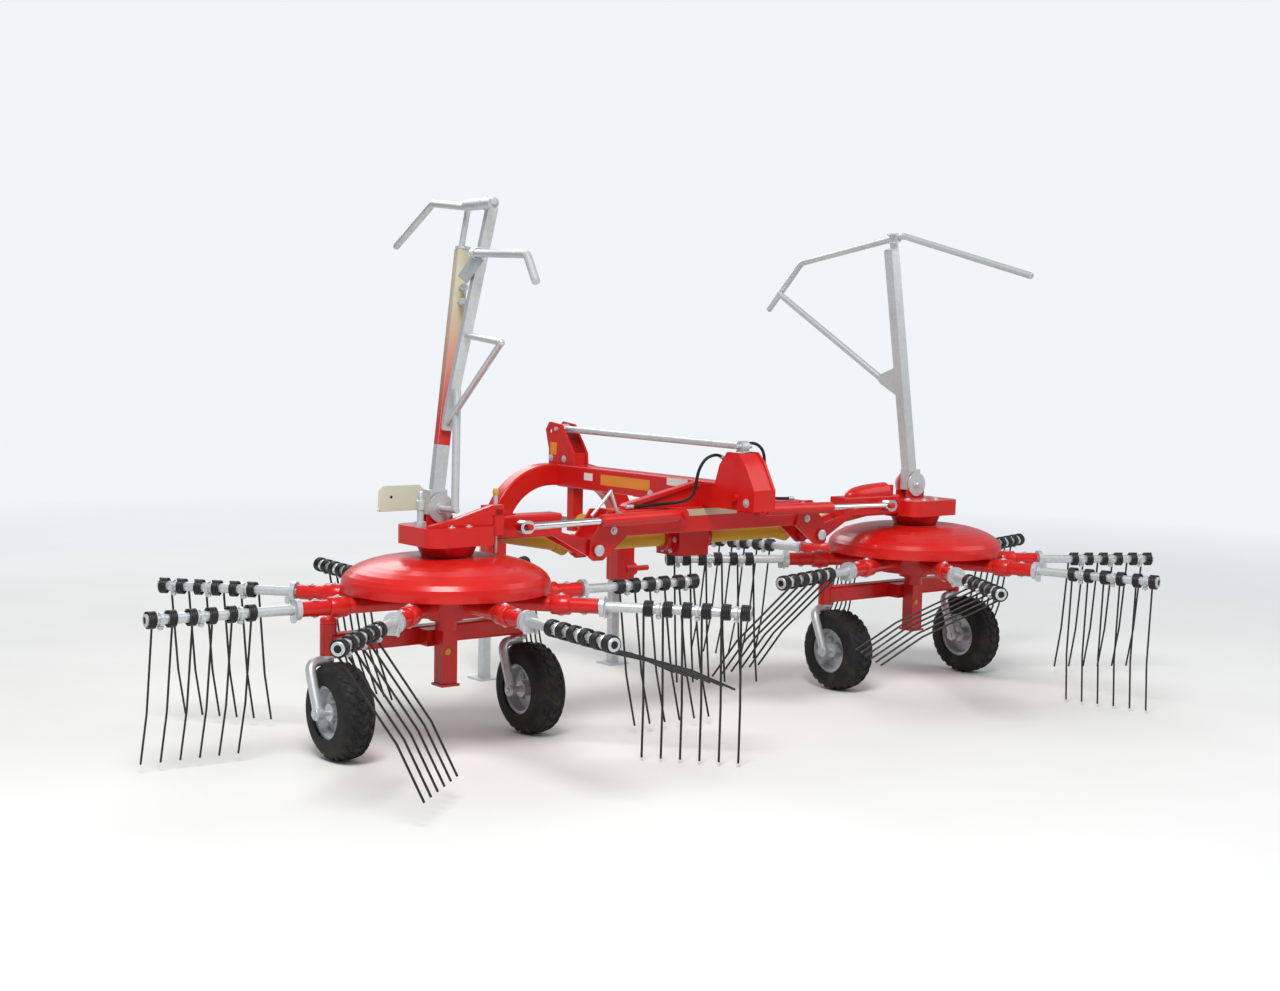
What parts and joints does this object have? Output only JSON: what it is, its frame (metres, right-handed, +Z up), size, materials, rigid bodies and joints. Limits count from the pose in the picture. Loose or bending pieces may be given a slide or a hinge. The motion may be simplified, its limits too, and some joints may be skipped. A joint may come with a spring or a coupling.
{
  "type": "rotary hay rake",
  "caption": "Rotary hay rake carried on a tractor's linkage, with folding arms, spring tine rotors on caster wheels and guards that fold out.",
  "frame": {"origin": "middle of the input shaft's free end, in the headstock", "axes": "+X to the right, +Y the way it travels, +Z up"},
  "size_m": [5.1783, 2.502, 2.249],
  "materials": {
    "red_paint": "gloss",
    "galvanized": "satin",
    "bare_steel": "satin",
    "chrome_rod": "polished",
    "tine_steel": "satin",
    "tyre_rubber": "matte",
    "black_rubber": "matte",
    "yellow_plastic": "matte"
  },
  "bodies": {
    "frame": {"headstock": "red_paint", "spine_beam": "red_paint", "link_tower": "red_paint", "rear_tower": "red_paint", "tie_rod": "galvanized", "cross_beam": "red_paint", "gearbox": "red_paint", "input_shaft": "bare_steel", "shaft_guards": "yellow_plastic", "lock_lever": "galvanized", "hose_left": "black_rubber", "hose_right": "black_rubber"},
    "stand_l": {"stand_left": "galvanized"},
    "stand_r": {"stand_right": "galvanized"},
    "arm_l": {"arm_left": "red_paint", "head_left": "red_paint", "drive_left": "yellow_plastic", "axle_beam_left": "red_paint"},
    "rotor_l": {"bell_left": "red_paint", "tine_arms_left": "galvanized", "tines_left": "tine_steel"},
    "guard_l": {"guard_mast_left": "galvanized", "guard_bow_left": "galvanized"},
    "barrel_l": {"barrel_left": "red_paint"},
    "ram_l": {"ram_left": "chrome_rod"},
    "outer_caster_l": {"outer_fork_left": "galvanized"},
    "outer_wheel_l": {"outer_tyre_left": "tyre_rubber", "outer_rim_left": "galvanized"},
    "inner_caster_l": {"inner_fork_left": "galvanized"},
    "inner_wheel_l": {"inner_tyre_left": "tyre_rubber", "inner_rim_left": "galvanized"},
    "arm_r": {"arm_right": "red_paint", "head_right": "red_paint", "drive_right": "yellow_plastic", "axle_beam_right": "red_paint"},
    "rotor_r": {"bell_right": "red_paint", "tine_arms_right": "galvanized", "tines_right": "tine_steel"},
    "guard_r": {"guard_mast_right": "galvanized", "guard_bow_right": "galvanized"},
    "barrel_r": {"barrel_right": "red_paint"},
    "ram_r": {"ram_right": "chrome_rod"},
    "outer_caster_r": {"outer_fork_right": "galvanized"},
    "outer_wheel_r": {"outer_tyre_right": "tyre_rubber", "outer_rim_right": "galvanized"},
    "inner_caster_r": {"inner_fork_right": "galvanized"},
    "inner_wheel_r": {"inner_tyre_right": "tyre_rubber", "inner_rim_right": "galvanized"}
  },
  "joints": [
    {"name": "fold_l", "type": "hinge", "parent": "frame", "child": "arm_l", "pos_m": [-0.65, -1.14, 0], "axis": [0, 1, 0], "range_deg": [0, 40]},
    {"name": "rotor_l_spin", "type": "hinge", "parent": "arm_l", "child": "rotor_l", "pos_m": [-1.36, -1.14, -0.08], "axis": [0, 0, 1], "continuous": true},
    {"name": "guard_l_fold", "type": "hinge", "parent": "arm_l", "child": "guard_l", "pos_m": [-1.38, -1.08, 0.205], "axis": [0, -1, 0], "range_deg": [0, 95]},
    {"name": "barrel_l_tilt", "type": "hinge", "parent": "frame", "child": "barrel_l", "pos_m": [-0.23, -1.2565, 0.138], "axis": [0, 1, 0], "range_deg": [0, 21]},
    {"name": "ram_l_slide", "type": "slide", "parent": "barrel_l", "child": "ram_l", "axis": [-0.9999, 0, -0.0159], "range_m": [-0.1412, 0]},
    {"name": "outer_caster_l_swivel", "type": "hinge", "parent": "arm_l", "child": "outer_caster_l", "pos_m": [-1.815, -0.99, -0.36], "axis": [0, 0, 1], "continuous": true},
    {"name": "outer_wheel_l_spin", "type": "hinge", "parent": "outer_caster_l", "child": "outer_wheel_l", "pos_m": [-1.815, -1.09, -0.585], "axis": [1, 0, 0], "continuous": true},
    {"name": "inner_caster_l_swivel", "type": "hinge", "parent": "arm_l", "child": "inner_caster_l", "pos_m": [-0.905, -0.99, -0.36], "axis": [0, 0, 1], "continuous": true},
    {"name": "inner_wheel_l_spin", "type": "hinge", "parent": "inner_caster_l", "child": "inner_wheel_l", "pos_m": [-0.905, -1.09, -0.585], "axis": [1, 0, 0], "continuous": true},
    {"name": "fold_r", "type": "hinge", "parent": "frame", "child": "arm_r", "pos_m": [0.65, -1.14, 0], "axis": [0, -1, 0], "range_deg": [0, 40]},
    {"name": "rotor_r_spin", "type": "hinge", "parent": "arm_r", "child": "rotor_r", "pos_m": [1.36, -1.14, -0.08], "axis": [0, 0, 1], "continuous": true},
    {"name": "guard_r_fold", "type": "hinge", "parent": "arm_r", "child": "guard_r", "pos_m": [1.38, -1.08, 0.205], "axis": [0, 1, 0], "range_deg": [0, 95]},
    {"name": "barrel_r_tilt", "type": "hinge", "parent": "frame", "child": "barrel_r", "pos_m": [0.23, -1.2565, 0.138], "axis": [0, -1, 0], "range_deg": [0, 21]},
    {"name": "ram_r_slide", "type": "slide", "parent": "barrel_r", "child": "ram_r", "axis": [0.9999, 0, -0.0159], "range_m": [-0.1412, 0]},
    {"name": "outer_caster_r_swivel", "type": "hinge", "parent": "arm_r", "child": "outer_caster_r", "pos_m": [1.815, -0.99, -0.36], "axis": [0, 0, 1], "continuous": true},
    {"name": "outer_wheel_r_spin", "type": "hinge", "parent": "outer_caster_r", "child": "outer_wheel_r", "pos_m": [1.815, -1.09, -0.585], "axis": [1, 0, 0], "continuous": true},
    {"name": "inner_caster_r_swivel", "type": "hinge", "parent": "arm_r", "child": "inner_caster_r", "pos_m": [0.905, -0.99, -0.36], "axis": [0, 0, 1], "continuous": true},
    {"name": "inner_wheel_r_spin", "type": "hinge", "parent": "inner_caster_r", "child": "inner_wheel_r", "pos_m": [0.905, -1.09, -0.585], "axis": [1, 0, 0], "continuous": true},
    {"name": "stand_l_slide", "type": "slide", "parent": "frame", "child": "stand_l", "axis": [0, 0, 1], "range_m": [0, 0.2]},
    {"name": "stand_r_slide", "type": "slide", "parent": "frame", "child": "stand_r", "axis": [0, 0, 1], "range_m": [0, 0.2]}
  ],
  "couplings": [
    {"joint": "barrel_l_tilt", "follows": "fold_l", "ratio": 0.48261},
    {"joint": "ram_l_slide", "follows": "fold_l", "m_per_rad": -0.19945},
    {"joint": "barrel_r_tilt", "follows": "fold_r", "ratio": 0.48261},
    {"joint": "ram_r_slide", "follows": "fold_r", "m_per_rad": -0.19945},
    {"joint": "rotor_l_spin", "follows": "rotor_r_spin", "ratio": -1}
  ]
}
